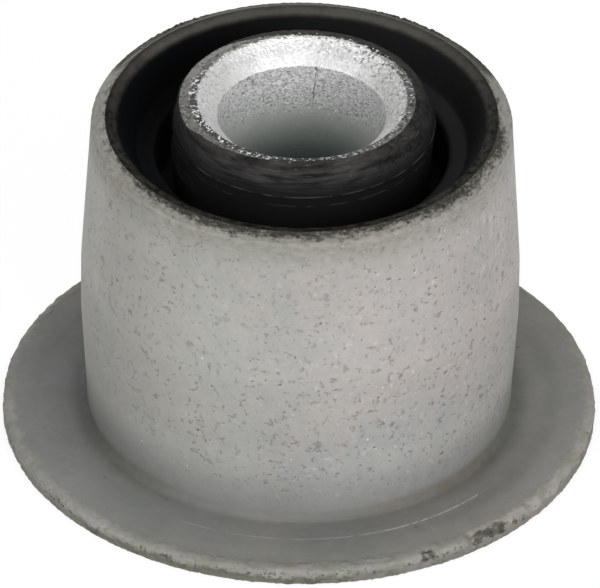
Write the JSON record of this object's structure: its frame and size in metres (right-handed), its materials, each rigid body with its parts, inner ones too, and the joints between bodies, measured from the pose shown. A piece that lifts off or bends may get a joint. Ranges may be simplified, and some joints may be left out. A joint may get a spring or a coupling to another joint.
{
  "type": "rubber metal bush",
  "caption": "Flanged rubber-metal bush: drawn steel outer sleeve with a wide round flange, bonded rubber body grooved at its ends, and a countersunk inner metal sleeve for a bolt.",
  "frame": {"origin": "centre of the flange's underside, the plane that the bush stands on", "axes": "+Z along the bore, from the flange towards the open rim; the bush is round about Z, so X and Y are free"},
  "size_m": [0.052, 0.052, 0.0333],
  "materials": {
    "coated_steel": "matt grey phosphate and zinc coat, finely pitted",
    "black_rubber": "moulded, scuffed round the collar",
    "bright_metal": "bright, rough and crystalline at the end"
  },
  "bodies": {
    "root": {"outer_sleeve": "coated_steel", "rubber_body": "black_rubber", "inner_sleeve": "bright_metal"}
  },
  "joints": []
}
